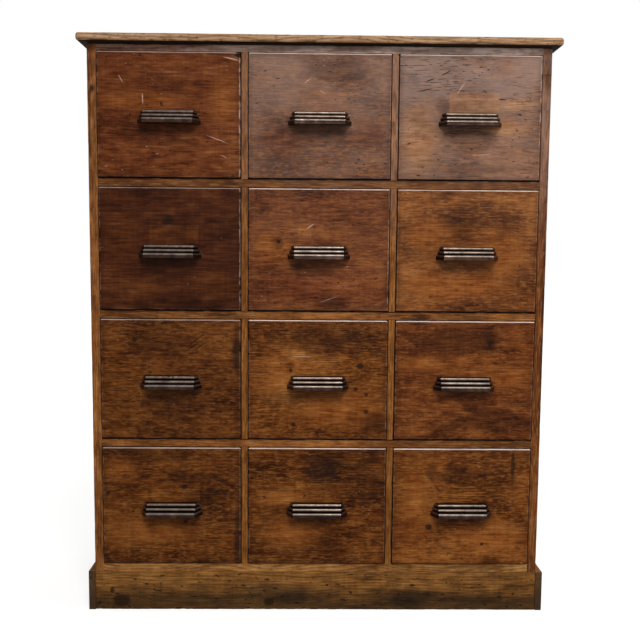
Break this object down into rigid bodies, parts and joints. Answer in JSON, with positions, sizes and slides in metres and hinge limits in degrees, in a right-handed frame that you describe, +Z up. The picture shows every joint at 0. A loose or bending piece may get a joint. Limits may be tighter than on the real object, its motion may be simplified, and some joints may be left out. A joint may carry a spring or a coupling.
{
  "type": "workshop drawer cabinet",
  "caption": "Free-standing pine bank of dovetailed drawers with an overhanging top board, a low plinth and reeded iron cup pulls.",
  "frame": {"origin": "on the floor, under the middle of the cabinet's overall width and depth", "axes": "+X to the right seen from the front, +Y from the drawer fronts to the back, +Z up"},
  "size_m": [0.962, 0.458, 1.182],
  "materials": {
    "top_pine": "bleached, bare",
    "frame_pine": "stained and waxed",
    "front_pine": "stained and waxed",
    "plinth_pine": "stained, dirty",
    "raw_pine": "planed, bare",
    "pull_iron": "dark, worn",
    "nail_steel": "dull"
  },
  "bodies": {
    "carcass": {"top_board": "top_pine", "crown_board": "frame_pine", "side_left": "frame_pine", "side_right": "frame_pine", "bottom_board": "frame_pine", "shelves": "frame_pine", "partitions": "frame_pine", "drawer_stops": "raw_pine", "back_boards": "raw_pine", "back_nails": "nail_steel", "plinth_front": "plinth_pine", "plinth_sides": "plinth_pine"},
    "drawer_r1c1": {"front_r1c1": "front_pine", "box_r1c1": "raw_pine", "bottom_r1c1": "raw_pine", "pull_r1c1": "pull_iron"},
    "drawer_r1c2": {"front_r1c2": "front_pine", "box_r1c2": "raw_pine", "bottom_r1c2": "raw_pine", "pull_r1c2": "pull_iron"},
    "drawer_r1c3": {"front_r1c3": "front_pine", "box_r1c3": "raw_pine", "bottom_r1c3": "raw_pine", "pull_r1c3": "pull_iron"},
    "drawer_r2c1": {"front_r2c1": "front_pine", "box_r2c1": "raw_pine", "bottom_r2c1": "raw_pine", "pull_r2c1": "pull_iron"},
    "drawer_r2c2": {"front_r2c2": "front_pine", "box_r2c2": "raw_pine", "bottom_r2c2": "raw_pine", "pull_r2c2": "pull_iron"},
    "drawer_r2c3": {"front_r2c3": "front_pine", "box_r2c3": "raw_pine", "bottom_r2c3": "raw_pine", "pull_r2c3": "pull_iron"},
    "drawer_r3c1": {"front_r3c1": "front_pine", "box_r3c1": "raw_pine", "bottom_r3c1": "raw_pine", "pull_r3c1": "pull_iron"},
    "drawer_r3c2": {"front_r3c2": "front_pine", "box_r3c2": "raw_pine", "bottom_r3c2": "raw_pine", "pull_r3c2": "pull_iron"},
    "drawer_r3c3": {"front_r3c3": "front_pine", "box_r3c3": "raw_pine", "bottom_r3c3": "raw_pine", "pull_r3c3": "pull_iron"},
    "drawer_r4c1": {"front_r4c1": "front_pine", "box_r4c1": "raw_pine", "bottom_r4c1": "raw_pine", "pull_r4c1": "pull_iron"},
    "drawer_r4c2": {"front_r4c2": "front_pine", "box_r4c2": "raw_pine", "bottom_r4c2": "raw_pine", "pull_r4c2": "pull_iron"},
    "drawer_r4c3": {"front_r4c3": "front_pine", "box_r4c3": "raw_pine", "bottom_r4c3": "raw_pine", "pull_r4c3": "pull_iron"}
  },
  "joints": [
    {"name": "slide_r1c1", "type": "slide", "parent": "carcass", "child": "drawer_r1c1", "axis": [0, -1, 0], "range_m": [0, 0.3]},
    {"name": "slide_r1c2", "type": "slide", "parent": "carcass", "child": "drawer_r1c2", "axis": [0, -1, 0], "range_m": [0, 0.3]},
    {"name": "slide_r1c3", "type": "slide", "parent": "carcass", "child": "drawer_r1c3", "axis": [0, -1, 0], "range_m": [0, 0.3]},
    {"name": "slide_r2c1", "type": "slide", "parent": "carcass", "child": "drawer_r2c1", "axis": [0, -1, 0], "range_m": [0, 0.3]},
    {"name": "slide_r2c2", "type": "slide", "parent": "carcass", "child": "drawer_r2c2", "axis": [0, -1, 0], "range_m": [0, 0.3]},
    {"name": "slide_r2c3", "type": "slide", "parent": "carcass", "child": "drawer_r2c3", "axis": [0, -1, 0], "range_m": [0, 0.3]},
    {"name": "slide_r3c1", "type": "slide", "parent": "carcass", "child": "drawer_r3c1", "axis": [0, -1, 0], "range_m": [0, 0.3]},
    {"name": "slide_r3c2", "type": "slide", "parent": "carcass", "child": "drawer_r3c2", "axis": [0, -1, 0], "range_m": [0, 0.3]},
    {"name": "slide_r3c3", "type": "slide", "parent": "carcass", "child": "drawer_r3c3", "axis": [0, -1, 0], "range_m": [0, 0.3]},
    {"name": "slide_r4c1", "type": "slide", "parent": "carcass", "child": "drawer_r4c1", "axis": [0, -1, 0], "range_m": [0, 0.3]},
    {"name": "slide_r4c2", "type": "slide", "parent": "carcass", "child": "drawer_r4c2", "axis": [0, -1, 0], "range_m": [0, 0.3]},
    {"name": "slide_r4c3", "type": "slide", "parent": "carcass", "child": "drawer_r4c3", "axis": [0, -1, 0], "range_m": [0, 0.3]}
  ]
}
